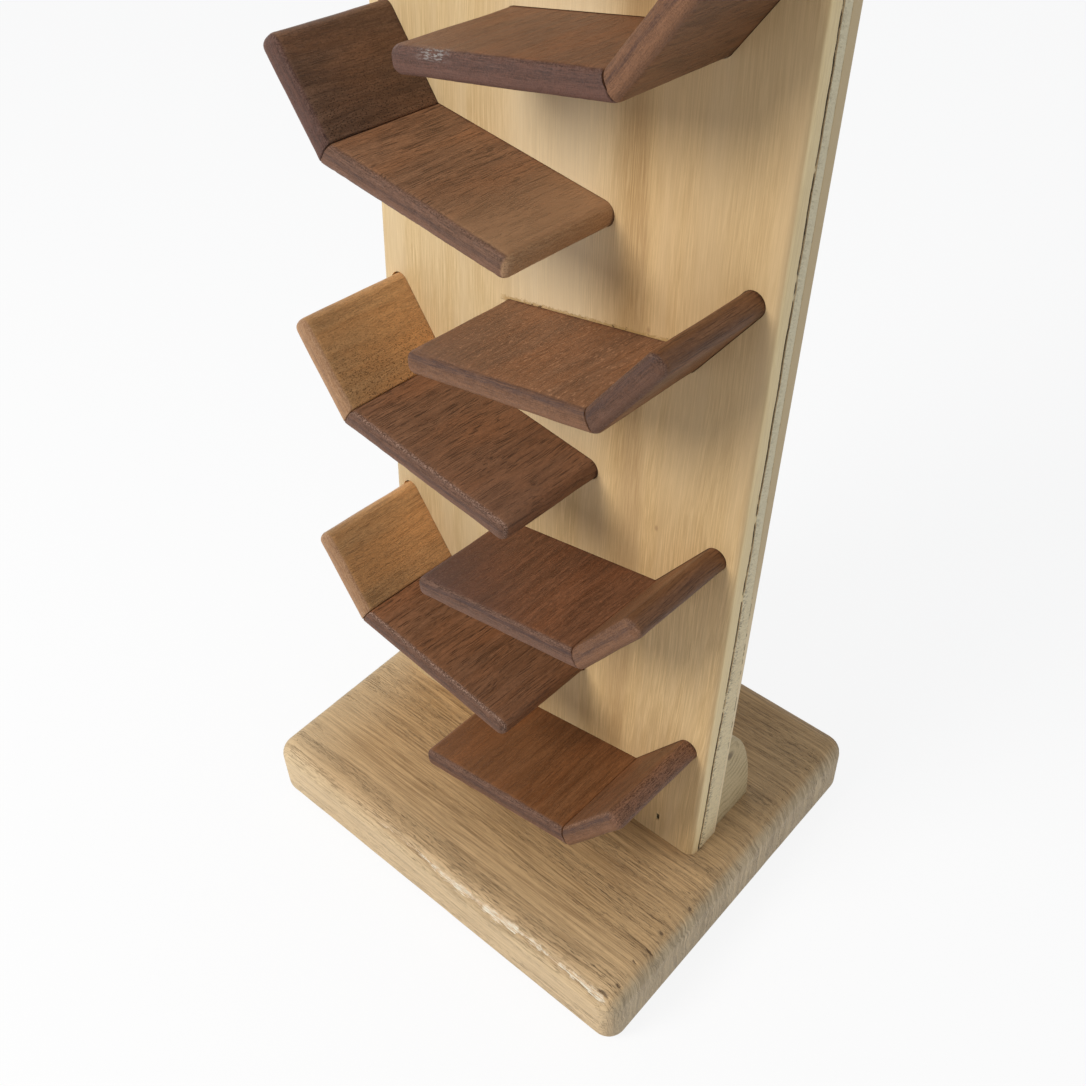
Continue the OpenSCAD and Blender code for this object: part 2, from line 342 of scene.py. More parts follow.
def oak():
    grain_dark, grain_pale = (0.295, 0.172, 0.073), (0.69, 0.455, 0.222)
    broad_brown, band_brown = (0.45, 0.275, 0.118), (0.31, 0.18, 0.078)
    front_dark, front_pale = (0.50, 0.37, 0.21), (0.76, 0.61, 0.385)
    front_gold, left_gold, right_gold = (0.74, 0.53, 0.30), (0.84, 0.66, 0.41), (0.80, 0.57, 0.31)
    groove_brown, pore_brown = (0.22, 0.128, 0.056), (0.13, 0.078, 0.038)
    # End-grain colours, painted paler than the wood to stand in for light on the ends
    lit_end_dark, lit_end_pale, end_faded = (0.33, 0.24, 0.135), (0.74, 0.585, 0.37), (0.57, 0.455, 0.29)
    # Painted shadow colours for the dark lines above and below the torn strip
    shadow_above_brown, shadow_below_brown = (0.16, 0.09, 0.04), (0.3, 0.19, 0.09)
    # The raw fibres' own pale colours, pushed to near white as a painted highlight
    raw_highlight_dark, raw_highlight_pale = (0.76, 0.52, 0.29), (1.0, 0.92, 0.74)
    pit_brown = (0.09, 0.052, 0.026)
    wood = Finish("oak", 0.58)
    space = wood.space()
    x, y, z = (wood.part(space, axis) for axis in "XYZ")
    # Over the rounded ends the lines of the grain run on and down the end faces
    ends = wood.slope(wood.absolute(wood.part(wood.normal(), "X")), 0.45, 0.95)
    round_end = wood.slope(wood.absolute(x), end_line - 0.01, end_line + 0.01)
    over = wood.times(round_end, wood.slope(wood.part(wood.normal(), "Z"), 0.02, 0.2))
    over = wood.calc("MAXIMUM", over, ends)
    fall = wood.minus(base_top / mm, z)
    bend = wood.times(wood.minus(wood.noise(space, (9, 7, 4)), 0.5), wood.times(ends, 3.6))
    run_on = wood.plus(x, wood.times(fall, wood.calc("SIGN", x)))
    downwards = wood.join(run_on, wood.plus(y, bend), base_top / mm)
    lines = wood.warp(wood.blend_spaces(over, space, downwards), (80, 14, 14), 1.5)
    streaks = wood.noise(lines, (30, 0.75, 0.75), detail=5, roughness=0.75)
    fine = wood.noise(lines, (22, 0.34, 0.34), detail=3, roughness=0.6)
    bands = wood.slope(wood.noise(lines, (110, 3.4, 3.4), detail=3, roughness=0.6), 0.38, 0.64)
    broad = wood.noise(space, (50, 14, 14))
    mixed = wood.plus(wood.times(streaks, 0.6), wood.times(fine, 0.4))
    share = wood.slope(mixed, 0.36, 0.63)
    wood.colour = wood.blend(share, grain_dark, grain_pale)
    wood.tint(wood.slope(broad, 0.4, 0.7, 0, 0.3), broad_brown)
    wood.tint(wood.times(bands, 0.3), band_brown)
    facing_front = wood.slope(wood.dot(wood.normal(), (0, -1, 0)), 0.45, 0.95, 0, 0.75)
    pale_face = wood.blend(wood.slope(mixed, 0.3, 0.7), front_dark, front_pale)
    wood.tint(facing_front, pale_face)
    near_front = wood.slope(y, -54, -36, 0.42, 0)
    near_front = wood.times(near_front, wood.slope(mixed, 0.36, 0.55, 0.4, 1))
    wood.tint(near_front, front_gold)
    wood.tint(wood.slope(x, -64, -40, 0.35, 0), left_gold)
    wood.tint(wood.slope(x, 38, 60, 0, 0.16), right_gold)
    grooves = wood.slope(wood.noise(lines, (13, 0.22, 0.22), detail=3, roughness=0.6), 0.54, 0.68)
    grooves = wood.times(grooves, wood.slope(bands, 0.0, 1.0, 0.35, 0.95))
    groove_share = wood.slope(x, 20, 56, 0.5, 0.85)
    wood.tint(wood.times(grooves, groove_share), groove_brown)
    pores = wood.slope(wood.noise(lines, (2.6, 0.17, 0.17), detail=1), 0.6, 0.7)
    pores = wood.times(pores, wood.slope(bands, 0.0, 1.0, 0.2, 1.0))
    pore_share = wood.slope(x, -60, -20, 0.25, 0.7)
    wood.tint(wood.times(pores, pore_share), pore_brown)
    # The end faces show the end grain's own colour, painted paler still as painted light on the ends
    end_colour = wood.blend(wood.slope(mixed, 0.38, 0.6), lit_end_dark, lit_end_pale)
    faded = wood.slope(wood.noise(space, (9, 9, 4)), 0.4, 0.6, 0.0, 0.3)
    faded = wood.plus(faded, wood.slope(z, 3, 15, 0.5, 0))
    end_colour = wood.blend(faded, end_colour, end_faded)
    wood.tint(wood.times(ends, 0.82), end_colour)
    # The torn strip along the front top edge: raw, pale fibres whose near-white is partly a painted
    # highlight, with a painted shadow line above them and a fainter painted shadow below
    swing, small = (
        wood.times(wood.calc("SINE", wood.calc("DIVIDE", x, length)), reach)
        for reach, length in tear_waves
    )
    off = wood.plus(wood.minus(y, tear_line), wood.plus(swing, small))
    splinters = wood.minus(wood.noise(space, (4, 0.28, 0.28), detail=5, roughness=0.75), 0.5)
    ragged = wood.plus(off, wood.times(splinters, 3.4))
    run = wood.slope(x, tear_from, tear_from + 26)
    run = wood.times(run, wood.slope(x, tear_to - 3, tear_to, 1, 0))
    run = wood.times(run, wood.slope(z, tear_floor + 0.5, tear_floor + 1.5))
    wide = wood.noise(space, (9, 90, 90), detail=5, roughness=0.65)
    wide = wood.slope(wide, 0.35, 0.65, 0.05, 0.85)
    wide = wood.times(wide, wood.times(run, wood.slope(x, -10, 30, 0.35, 1.1)))
    inside = wood.minus(wide, wood.absolute(ragged))
    raw_and_highlight = wood.times(wood.slope(inside, -0.1, 0.14), wood.slope(run, 0.1, 0.7, 0.2, 1))
    # Painted shadow: a dark line along the upper side of the torn strip
    above = wood.absolute(wood.minus(wood.minus(ragged, wide), 0.3))
    shadow_above = wood.slope(above, 0.05, 0.26, 1, 0)
    shadow_above = wood.times(shadow_above, wood.slope(streaks, 0.45, 0.6))
    wood.tint(wood.times(shadow_above, run, 0.8), shadow_above_brown)
    # Painted shadow: a fainter brown band along the lower side of the torn strip
    shadow_below = wood.absolute(wood.plus(wood.plus(ragged, wide), 0.45))
    shadow_below = wood.times(wood.slope(shadow_below, 0.1, 0.5, 1, 0), run)
    wood.tint(wood.times(shadow_below, 0.4), shadow_below_brown)
    # Painted highlight: the raw fibres are pale, and their near-white is partly a painted highlight
    raw_highlight_colour = wood.blend(wood.slope(splinters, -0.1, 0.1), raw_highlight_dark, raw_highlight_pale)
    wood.tint(raw_and_highlight, raw_highlight_colour)
    pit = wood.slope(wood.plus(wood.mark("pit"), wood.times(splinters, 2)), 0.25, 0.6)
    wood.tint(wood.times(pit, 0.75), pit_brown)
    roughness = wood.slope(mixed, 0.3, 0.7, 0.5, 0.66)
    height = wood.minus(wood.times(mixed, 0.9), wood.calc("MAXIMUM", pores, grooves))
    height = wood.plus(height, wood.times(raw_and_highlight, wood.times(splinters, 4.0)))
    return wood.show(roughness, height, 0.1)


finish_piece("oak_base", slab, oak(), "oak", "base")

# Foot block
# A quarter-round block of softwood, glued and screwed to the base behind the board.
# Its end grain shows curved rings round the heart of the tree near its top.
board_lean = math.radians(4.4)
board_front = 7.5 * mm
board_thick = 12 * mm
block_from, block_to = -57 * mm, 54 * mm
block_deep, block_high = 17 * mm, 37.4 * mm
block_ease, block_steps = 0.9 * mm, 112
pith = Vector((block_to, 9.5 * mm, base_top + 29 * mm))
year_ring = 2.6

leaning = Matrix.Translation((-board_left, -board_front, base_top))
leaning = leaning @ Matrix.Rotation(-board_lean, 4, "X")
behind_board = leaning @ Vector((0, board_thick, 0))
backwards = leaning.to_3x3() @ Vector((0, 1, 0))


def only(kind, things):
    return [thing for thing in things if isinstance(thing, kind)]


def cut_mesh(mesh, place, way, near=0.001 * mm, drop=True):
    """Cuts a mesh along a plane, may drop what lies behind it, and returns the cut's edges."""
    cut = bmesh.ops.bisect_plane(
        mesh, geom=mesh.verts[:] + mesh.edges[:] + mesh.faces[:], dist=near,
        plane_co=place, plane_no=way, clear_inner=drop,
    )["geom_cut"]
    return only(bmesh.types.BMEdge, cut)


block = bmesh.new()
bmesh.ops.create_circle(block, cap_ends=True, segments=block_steps, radius=1)
sideways = Matrix.Rotation(math.radians(90), 3, "Y")
bmesh.ops.rotate(block, cent=(0, 0, 0), matrix=sideways, verts=block.verts)
bmesh.ops.scale(block, vec=(1, block_deep, block_high), verts=block.verts)
bmesh.ops.translate(block, vec=(block_from, behind_board.y, base_top), verts=block.verts)
cut_mesh(block, (0, 0, base_top), (0, 0, 1))
cut_mesh(block, behind_board, backwards)
grown = bmesh.ops.extrude_face_region(block, geom=block.faces[:])["geom"]
far_end = only(bmesh.types.BMVert, grown)
bmesh.ops.translate(block, vec=(block_to - block_from, 0, 0), verts=far_end)
bmesh.ops.recalc_face_normals(block, faces=block.faces)
ends = [f for f in block.faces if abs(f.normal.x) > 0.99]
bevel(block, [e for f in ends for e in f.edges if e.calc_length() < 5 * mm], block_ease, 4)


def softwood():
    fibre_dark, fibre_pale = (0.48, 0.36, 0.19), (0.69, 0.545, 0.31)
    late_brown, heart_brown = (0.33, 0.235, 0.115), (0.13, 0.09, 0.05)
    wood = Finish("softwood", 0.62)
    space = wood.space(Matrix.Translation(pith))
    wavy = wood.warp(space, (60, 10, 10), 3.0)
    radius = wood.length(wood.vector("MULTIPLY", wavy, (0.004, 1, 1)))
    wobble = wood.times(wood.noise(space, (60, 3, 3)), 1.6)
    phase = wood.calc("FRACT", wood.calc("DIVIDE", wood.plus(radius, wobble), year_ring))
    late = wood.times(wood.slope(phase, 0.35, 0.85), wood.slope(phase, 0.88, 0.99, 1.0, 0.0))
    late = wood.times(late, wood.slope(wood.noise(space, (40, 5, 5)), 0.35, 0.65, 0.25, 1.0))
    fibre = wood.noise(space, (30, 0.3, 0.3), detail=3, roughness=0.65)
    wood.colour = wood.blend(wood.slope(fibre, 0.32, 0.68), fibre_dark, fibre_pale)
    wood.tint(wood.times(late, 0.7), late_brown)
    heart = wood.slope(radius, 0.3, 2.4, 0.75, 0.0)
    wood.tint(heart, heart_brown)
    height = wood.plus(wood.times(late, 0.8), fibre)
    return wood.show(None, height, 0.12)


finish_piece("softwood_foot_block", block, softwood(), "softwood", "foot_block")

# Board
# Three thick plies of pale plywood, 12 mm in all. It leans back on the base, and its
# edges are bare: a cracked glue line runs behind the front ply, and the core is rough.
board_wide = 113 * mm
board_long = 360 * mm
board_corner = 6 * mm
front_ease, foot_ease, back_ease = 1.8 * mm, 2.7 * mm, 1.0 * mm
edge_step = 1.0 * mm
foot_spare = -3 * mm
crack_half, glue_half, back_ply_end = 0.9 * mm, 0.3 * mm, 10.95 * mm
# In plain millimetres: how far back the crack and the glue line run, and from which
# height to which they move
crack_low, crack_rise, crack_top = 3.5, 1.1, 95
glue_low, glue_high, glue_from, glue_to = 10.4, 8.1, 40, 140
tray_count = 10
tray_first = 22.6 * mm
tray_step = 32.6 * mm
joint_out = 36.5 * mm
ramp_fall, stop_rise = math.radians(8.8), math.radians(53)
ramp_long, stop_long = 52 * mm, 25.5 * mm
slot_half = 3 * mm
slot_past_end = 0.5 * mm
brad_out, brad_up = 44 * mm, 7.6 * mm
brad_hole = Vector((0.5, 0, 1.25)) * mm
brad_sunk, brad_round = 1 * mm, 0.4 * mm


def tray_lines(number):
    """The joint of a tray on the board's front, and the ways of its ramp and its stop."""
    side = 1 if number % 2 else -1
    joint = Vector((side * joint_out, 0, tray_first + (number - 1) * tray_step))
    ramp_way = Vector((-side * math.cos(ramp_fall), 0, -math.sin(ramp_fall)))
    stop_way = Vector((side * math.cos(stop_rise), 0, math.sin(stop_rise)))
    return joint, ramp_way, stop_way


def outline(mesh, corners, rounds, step=None):
    """A closed line through the corners, with some of them rounded."""
    verts = [mesh.verts.new(corner) for corner in corners]
    mesh.faces.new(verts)
    before = set(mesh.verts) - set(verts)
    for vert, offset, steps in zip(verts, rounds[0], rounds[1]):
        if offset:
            bevel(mesh, [vert], offset, steps, "VERTICES")
    fresh = [v for v in mesh.verts if v not in before]
    bmesh.ops.remove_doubles(mesh, verts=fresh, dist=0.02 * mm)
    face = next(f for f in mesh.faces if not set(f.verts) & before)
    if step:
        for edge in list(face.edges):
            length = edge.calc_length()
            if length > 2 * step:
                bmesh.ops.subdivide_edges(mesh, edges=[edge], cuts=int(length / step))
        face = next(f for f in mesh.faces if not set(f.verts) & before)
    edges = list(face.edges)
    bmesh.ops.delete(mesh, geom=[face], context="FACES_ONLY")
    return edges


def grow(mesh, edges):
    """Walls out of a closed line: the new verts, and the new line along the walls' far side."""
    grown = bmesh.ops.extrude_edge_only(mesh, edges=edges)["geom"]
    fresh = set(only(bmesh.types.BMVert, grown))
    return fresh, [e for e in only(bmesh.types.BMEdge, grown) if fresh.issuperset(e.verts)]


def push_through(mesh, edges, depth):
    """Walls from a closed line on the front, straight back into the board."""
    fresh, far_line = grow(mesh, edges)
    bmesh.ops.translate(mesh, vec=(0, depth, 0), verts=list(fresh))
    return far_line


def crack(place):
    """Where the crack behind the front ply runs at a place on the edge, and how open it is."""
    height = place.z / mm
    middle = crack_low + crack_rise * held(height / crack_top)
    middle = middle + 0.35 * noise.noise(place / (13 * mm)) + 0.12 * noise.noise(place / (2.1 * mm))
    opened = 0.85 + 0.8 * noise.noise(place / (16 * mm)) + 0.9 * noise.noise(place / (2.6 * mm))
    return middle * mm, held(opened)


board = bmesh.new()
gap_shade_and_glue = board.verts.layers.float.new("gap_shade_and_glue")
half_wide = board_wide / 2
corners = [(-half_wide, 0, foot_spare), (half_wide, 0, foot_spare)]
corners += [(half_wide, 0, board_long), (-half_wide, 0, board_long)]
rim = outline(board, corners, ((0, 0, board_corner, board_corner), (0, 0, 10, 10)), edge_step)
start = {v: v.co.copy() for e in rim for v in e.verts}
outward = {}
for vert, place in start.items():
    inside_x = min(max(place.x, board_corner - half_wide), half_wide - board_corner)
    away = place - Vector((inside_x, 0, min(place.z, board_long - board_corner)))
    if abs(place.x) < half_wide - 0.01 * mm and place.z < 0:
        away = Vector((0, 0, 0))
    outward[vert] = away.normalized()
rows = [("front", math.radians(angle)) for angle in (0, 22, 45, 67, 90)]
rows += [("crack", along_y) for along_y in (-0.9, -0.5, -0.22, 0, 0.22, 0.5, 0.9)]
rows += [("core", share) for share in (0.3, 0.65, 1.0)]
rows += [("glue", along_y) for along_y in (-0.2, 0, 0.2)]
rows += [("back ply", share) for share in (0.35, 0.7)]
rows += [("back", math.radians(angle)) for angle in (90, 60, 30, 0)]


def edge_place(row, place, away):
    """Where a row of the board's edge runs at a place on its outline: back, out and open."""
    kind, value = row
    raised = held((place.z / mm - glue_from) / (glue_to - glue_from))
    glue_line = (glue_low + (glue_high - glue_low) * raised * raised * (3 - 2 * raised)) * mm
    ease = front_ease + (foot_ease - front_ease) * max(0, 1 - max(0, place.z) / (22 * mm)) ** 2
    middle, opened = crack(place)
    rough = 0.07 * mm * noise.noise(place / (1.4 * mm) + Vector((0, 3.1 * value, 5)))
    if kind == "front":
        return ease * (1 - math.cos(value)), -ease * (1 - math.sin(value)), 0
    if kind == "crack":
        out = -0.8 * mm * held(1.9 - abs(value) / 0.4) * opened + min(0, rough)
        return middle + value * 0.5 * mm, out, opened * (abs(value) < 0.7)
    if kind == "core":
        back = middle + crack_half + (glue_line - glue_half - middle - crack_half) * value
        return back, min(0, 2.2 * rough), 0
    if kind == "glue":
        out = -0.12 * mm * (value == 0) + min(0, rough)
        return glue_line + value * mm, out, 0.35 * (value == 0)
    if kind == "back ply":
        back = glue_line + glue_half + value * (back_ply_end - glue_line - glue_half)
        return back, min(0, rough), 0
    return board_thick - back_ease * (1 - math.cos(value)), -back_ease * (1 - math.sin(value)), 0


loop = rim
places = dict(start)
for number, row in enumerate(rows):
    if number:
        old = {v.co.copy().freeze(): v for e in loop for v in e.verts}
        fresh, loop = grow(board, loop)
        for vert in fresh:
            source = old[vert.co.copy().freeze()]
            places[vert], outward[vert] = places[source], outward[source]
    for vert in {v for e in loop for v in e.verts}:
        back, out, opened = edge_place(row, places[vert], outward[vert])
        vert.co = places[vert] + outward[vert] * out + Vector((0, back, 0))
        vert[gap_shade_and_glue] = opened

fronts, backs = list(rim), list(loop)
for number in range(1, tray_count + 1):
    joint, ramp_way, stop_way = tray_lines(number)
    inward = (ramp_way + stop_way).normalized()
    slant = inward.angle(ramp_way)
    corners = [joint + inward * slot_half / math.sin(slant)]
    for way, reach in ((ramp_way, ramp_long), (stop_way, stop_long)):
        across = (inward - way * way.dot(inward)).normalized() * slot_half
        end = joint + way * (reach + slot_past_end)
        pair = [end + across, end - across]
        corners += pair if way is ramp_way else pair[::-1]
        if way is ramp_way:
            corners.append(joint - inward * slot_half / math.sin(slant))
    turn, end_round = slot_half / math.tan(slant), 0.999 * slot_half
    rounds = (0, end_round, end_round, turn, end_round, end_round)
    slot = outline(board, corners, (rounds, (0, 8, 8, 6, 8, 8)))
    fronts += slot
    backs += push_through(board, slot, board_thick)
for side in (-1, 1):
    brad = Vector((side * brad_out, 0, brad_up))
    ways = ((-1, -1), (1, -1), (1, 1), (-1, 1))
    corners = [brad + Vector((x * brad_hole.x, 0, z * brad_hole.z)) for x, z in ways]
    hole = outline(board, corners, ((brad_round,) * 4, (4,) * 4))
    fronts += hole
    bottom = push_through(board, hole, brad_sunk)
    # Painted shade: the bottoms of the brad holes are marked to be painted near black
    for vert in {v for e in bottom for v in e.verts}:
        vert[gap_shade_and_glue] = 1
    bmesh.ops.triangle_fill(board, use_beauty=True, edges=bottom)
for edges in (fronts, backs):
    bmesh.ops.triangle_fill(board, use_beauty=True, edges=edges, normal=(0, -1, 0))
bmesh.ops.transform(board, matrix=leaning, verts=board.verts)
foot = cut_mesh(board, (0, 0, base_top), (0, 0, 1))
bmesh.ops.triangle_fill(board, use_beauty=True, edges=foot)
bmesh.ops.recalc_face_normals(board, faces=board.faces)


def plywood():
    grain_dark, grain_pale = (0.55, 0.385, 0.18), (0.76, 0.57, 0.31)
    wide_brown, long_brown, broad_pale = (0.47, 0.325, 0.155), (0.58, 0.41, 0.205), (0.71, 0.55, 0.33)
    right_shade, cool_shadow_grey = (0.96, 0.88, 0.78), (0.66, 0.58, 0.42)
    painted_light_pale, painted_shade_brown = (0.97, 0.83, 0.57), (0.40, 0.295, 0.165)
    stripe_red, knot_brown = (0.385, 0.225, 0.09), (0.28, 0.15, 0.065)
    tuft_brown, clot_brown = (0.42, 0.26, 0.09), (0.11, 0.06, 0.025)
    low_core, high_core, cut_brown = (0.92, 0.75, 0.45), (0.86, 0.745, 0.49), (0.23, 0.165, 0.08)
    foot_highlight_back, high_back, dash_brown = (0.92, 0.74, 0.47), (0.60, 0.45, 0.25), (0.24, 0.18, 0.085)
    lit_ply_dark, lit_ply_pale, shade_and_glue_black = (0.84, 0.63, 0.32), (0.98, 0.78, 0.44), (0.055, 0.037, 0.021)
    wood = Finish("plywood", 0.5)
    space = wood.space(leaning)
    x, y, z = (wood.part(space, axis) for axis in "XYZ")
    sway = wood.times(wood.noise(space, (40, 40, 90), detail=1), 6)
    wavy = wood.join(wood.plus(x, sway), y, z)
    fine = wood.noise(wavy, (0.3, 0.3, 13), detail=4, roughness=0.7)
    middling = wood.noise(wavy, (1.6, 1.6, 60), detail=3, roughness=0.6)
    broad = wood.noise(wavy, (9, 9, 150), detail=3)
    share = wood.minus(wood.slope(fine, 0.37, 0.63), 0.5)
    share = wood.plus(wood.times(share, wood.slope(z, 60, 260, 1.3, 0.75)), 0.5)
    wood.colour = wood.blend(share, grain_dark, grain_pale)
    wider = wood.slope(wood.noise(wavy, (0.7, 0.7, 24), detail=3, roughness=0.6), 0.46, 0.6)
    wider = wood.times(wider, wood.slope(z, 60, 220, 0.34, 0.04))
    wood.tint(wider, wide_brown)
    wood.tint(wood.slope(middling, 0.42, 0.66, 0, 0.45), long_brown)
    wood.tint(wood.slope(broad, 0.35, 0.7, 0, 0.6), broad_pale)
    wood.tint(wood.slope(x, -32, 34), right_shade, "MULTIPLY")
    # Painted shadow: the lower right of the face turns slightly grey, the cool colour of the shadow
    # there
    low_right_shadow = wood.times(wood.slope(x, 26, 42), wood.slope(z, 60, 130, 0.1, 0))
    wood.tint(low_right_shadow, cool_shadow_grey)
    # Painted light: the upper middle of the face, where light falls between the trays, is painted paler
    lit_strip = wood.slope(wood.absolute(x), 6, 20, 0.42, 0)
    lit_strip = wood.times(lit_strip, wood.slope(z, 100, 130))
    wood.tint(lit_strip, painted_light_pale)
    # Painted shade: the upper right edge and the lower left between the stops are darkened, where the
    # trays' shadows fall
    high_right_shade = wood.times(wood.slope(x, 20, 44), wood.slope(z, 90, 130, 0, 0.32))
    low_left_shade = wood.times(wood.slope(x, -32, -14, 0.32, 0), wood.slope(z, 80, 100, 1, 0))
    wood.tint(wood.calc("MAXIMUM", high_right_shade, low_left_shade), painted_shade_brown)
    # A reddish stripe wanders down the face
    path = wood.node("ShaderNodeValToRGB", {"Fac": wood.calc("DIVIDE", z, board_long / mm)})
    ramp = path.color_ramp
    ramp.interpolation = "B_SPLINE"
    points = ((0.0, 0.275), (0.12, 0.27), (0.28, 0.27), (0.4, 0.235), (0.55, 0.21), (1.0, 0.14))
    while len(ramp.elements) < len(points):
        ramp.elements.new(0.5)
    for element, (place, value) in zip(ramp.elements, points):
        element.position = place
        element.color = (value, value, value, 1)
    off = wood.minus(x, wood.times(path.outputs["Color"], 100))
    off = wood.minus(off, wood.times(wood.noise(space, (4, 4, 30)), 3))
    stripe = wood.times(wood.slope(off, -10, -2.5), wood.slope(off, -0.6, 2.2, 1, 0))
    stripe = wood.times(stripe, wood.slope(fine, 0.35, 0.65, 0.62, 0.34))
    wood.tint(stripe, stripe_red)
    for knot_x, knot_z in ((33.5, 106), (26.3, 156), (-20, 262), (12, 318)):
        away = wood.vector("SUBTRACT", space, (knot_x, 0, knot_z))
        reach = wood.length(wood.vector("MULTIPLY", away, (1, 0, 0.6)))
        spot = wood.slope(reach, 0.1, 0.75, 0.5, 0.0)
        wood.tint(spot, knot_brown)
    # Torn fibres stand along the top of the fifth tray's slot
    joint = tray_lines(5)[0] / mm
    above = wood.plus(z, wood.times(wood.minus(joint.x, x), math.tan(ramp_fall)))
    above = wood.minus(above, joint.z + slot_half / mm / math.cos(ramp_fall))
    tufts = wood.noise(space, (0.9, 1, 0.5), detail=4, roughness=0.7)
    torn_here = wood.times(wood.slope(x, -17, -14), wood.slope(x, 31, 35, 1, 0))
    fringe = wood.plus(above, wood.times(wood.minus(tufts, 0.5), 3.0))
    fringe = wood.times(wood.slope(fringe, 0.3, 0.9, 1, 0), torn_here)
    fringe = wood.times(fringe, wood.slope(above, -0.6, -0.4))
    wood.tint(wood.times(fringe, 0.75), tuft_brown)
    clots = wood.slope(wood.noise(space, (1.5, 1, 0.9)), 0.58, 0.64)
    wood.tint(wood.times(clots, fringe, 0.85), clot_brown)
    # The edge: long fibres in the two outer plies, cut-off fibre ends in the core
    slanted = wood.join(x, y, wood.plus(z, wood.times(y, 0.45)))
    ribs = wood.noise(slanted, (2.5, 1.2, 0.55), detail=4, roughness=0.7, distortion=0.5)
    crack_line = wood.slope(z, 0, crack_top, crack_low, crack_low + crack_rise)
    from_crack = wood.minus(y, crack_line)
    to_glue = wood.minus(wood.slope(z, glue_from, glue_to, glue_low, glue_high), y)
    core = wood.times(wood.slope(from_crack, -0.1, 0.3), wood.slope(to_glue, 0, 0.3))
    cut_ends = wood.slope(z, 75, 125, 1, 0.4)
    cut_ends = wood.times(cut_ends, wood.slope(from_crack, 0.9, 2.8, 1, 0.25))
    cut_ends = wood.times(wood.slope(ribs, 0.38, 0.56, 0.85, 0), cut_ends)
    core_colour = wood.blend(wood.slope(z, 60, 130), low_core, high_core)
    core_colour = wood.blend(cut_ends, core_colour, cut_brown)
    dashes = wood.slope(wood.noise(space, (9, 9, 2.6), detail=1), 0.5, 0.56)
    dashes = wood.times(dashes, wood.slope(wood.absolute(to_glue), 0.1, 0.32, 0.7, 0))
    lower_half = wood.times(wood.slope(z, 28, 42), wood.slope(z, 85, 100, 1, 0))
    dashes = wood.times(dashes, lower_half)
    # Painted highlight: near the foot the back ply is painted pale, the highlight along the back arris
    # there
    back_colour = wood.blend(wood.slope(z, 70, 110), foot_highlight_back, high_back)
    # The outer plies' edges have their own pale colour, painted paler still as painted light in place
    # of light on the edge from the right
    outer_colour = wood.blend(wood.slope(fine, 0.3, 0.7), lit_ply_dark, lit_ply_pale)
    outer_colour = wood.blend(wood.slope(y, 7.0, 7.9, 0, 0.8), outer_colour, back_colour)
    edge_colour = wood.blend(core, outer_colour, core_colour)
    edge_colour = wood.blend(dashes, edge_colour, dash_brown)
    facing = wood.absolute(wood.dot(wood.normal(), backwards))
    wood.colour = wood.blend(wood.slope(facing, 0.35, 0.75), edge_colour, wood.colour)
    splinters = wood.noise(space, (0.3, 0.3, 1.2), detail=4, roughness=0.7)
    ragged = wood.plus(wood.mark("gap_shade_and_glue"), wood.times(splinters, 0.9))
    # Painted near black: the open crack, partly its dark glue and partly painted shade in it, the glue
    # line faintly, and the brad holes' bottoms as painted shade
    dark = wood.slope(ragged, 0.72, 0.92)
    wood.tint(wood.times(dark, 0.9), shade_and_glue_black)
    height = wood.plus(fine, wood.times(ribs, core, 5.0))
    return wood.show(wood.slope(fine, 0.3, 0.7, 0.42, 0.6), height, 0.06)


finish_piece("plywood_board", board, plywood(), "plywood", "board")

# Screws and brads
# Two steel countersunk screws hold the base to the foot block from below, and two
# small steel brads pin the board's foot from the front. Both keep the CAD's shapes.
# The brads are painted near black, as painted shade of the holes they sit in.
# The brads' near-black grey is painted shade
bright_grey, brad_shade_grey = (0.56, 0.55, 0.54), (0.09, 0.08, 0.07)


def shade(colour, share):
    """The colour, made darker or lighter."""
    return tuple(share * part for part in colour)


def steel(name, grey):
    metal = Finish(name, 0.35)
    metal.shader.inputs["Metallic"].default_value = 1.0
    space = metal.space()
    turned = metal.noise(space, (0.15, 0.15, 1.2))
    metal.colour = metal.blend(metal.slope(turned, 0.3, 0.7), shade(grey, 0.8), grey)
    return metal.show(metal.slope(turned, 0.3, 0.7, 0.28, 0.45), turned, 0.01)


for node, name, grey in (
    ("base_screws", "bright_steel", bright_grey), ("board_brads", "shaded_brad_steel", brad_shade_grey),
):
    finish = steel(name, grey)
    for place in range(len(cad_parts[node].data.materials)):
        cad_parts[node].data.materials[place] = finish

# Trays
# Each is two strips of hardwood, mitred together into a V and pushed through a slot
# in the board: a long ramp that the marble rolls down, and a short stop at its top.
slat_thick = 5.7 * mm
slat_reach = 32.5 * mm
slat_round = 2.2 * mm
slat_back_ease = 0.4 * mm
mitre_gap = 0.05 * mm
mitre_ease = 0.18 * mm
warp_steps = (0.8 * mm, 3 * mm)
warp_depth = 0.14 * mm
chip_depth = 0.16 * mm
dark_edge = ((0.055, 0.026, 0.015), (0.18, 0.09, 0.056))
plum = (0.05, 0.028, 0.026)


def square_edges(mesh):
    right_angle = math.pi / 2
    return [e for e in mesh.edges if e.is_manifold and abs(e.calc_face_angle() - right_angle) < 0.2]


